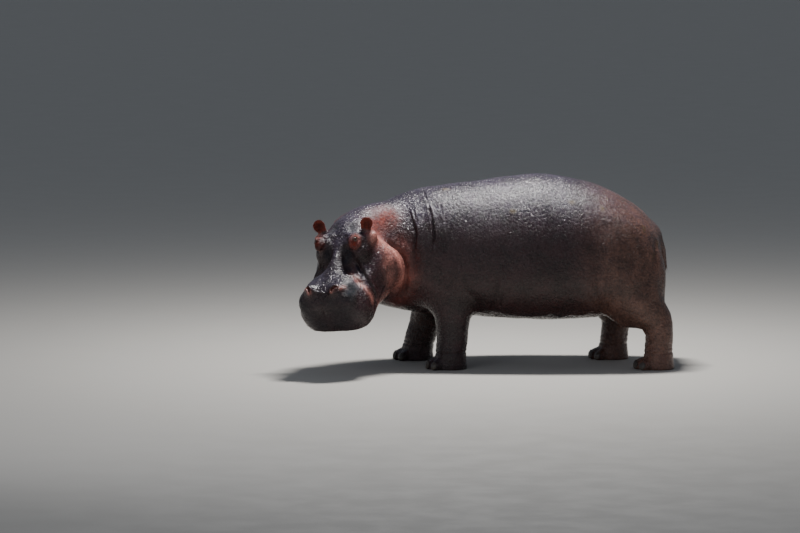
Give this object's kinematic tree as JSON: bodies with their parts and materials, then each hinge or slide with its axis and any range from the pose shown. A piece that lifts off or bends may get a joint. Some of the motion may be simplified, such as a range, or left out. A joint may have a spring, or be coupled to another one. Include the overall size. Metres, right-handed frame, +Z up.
{
  "type": "hippopotamus",
  "caption": "Life-size still model of a standing hippopotamus, wading stance, head lowered and turned to its left.",
  "frame": {"origin": "middle of the bounding box in plan, on the floor under the soles", "axes": "-X is the way the animal walks, -Y its left side, +Z up; +X, the longest extent, runs from muzzle to rump"},
  "size_m": [2.862, 1.57, 1.4701],
  "materials": {
    "hide": "wet, finely wrinkled skin, grey-brown with reddish folds",
    "pale_hide": "thin pink-brown skin",
    "eye": "glossy dark brown, as a glass model eye",
    "nail": "dull dark horn"
  },
  "bodies": {
    "root": {"ear_left": "pale_hide", "ear_right": "pale_hide", "eye_left": "eye", "eye_right": "eye", "forefoot_left": "hide", "forefoot_right": "hide", "foreleg_left": "hide", "foreleg_right": "hide", "forenail_left_1": "nail", "forenail_left_2": "nail", "forenail_left_3": "nail", "forenail_left_4": "nail", "forenail_right_1": "nail", "forenail_right_2": "nail", "forenail_right_3": "nail", "forenail_right_4": "nail", "head": "hide", "hindfoot_left": "hide", "hindfoot_right": "hide", "hindleg_left": "hide", "hindleg_right": "hide", "hindnail_left_1": "nail", "hindnail_left_2": "nail", "hindnail_left_3": "nail", "hindnail_left_4": "nail", "hindnail_right_1": "nail", "hindnail_right_2": "nail", "hindnail_right_3": "nail", "hindnail_right_4": "nail", "lower_jaw": "hide", "neck": "hide", "tail": "hide", "trunk": "hide"}
  },
  "joints": []
}
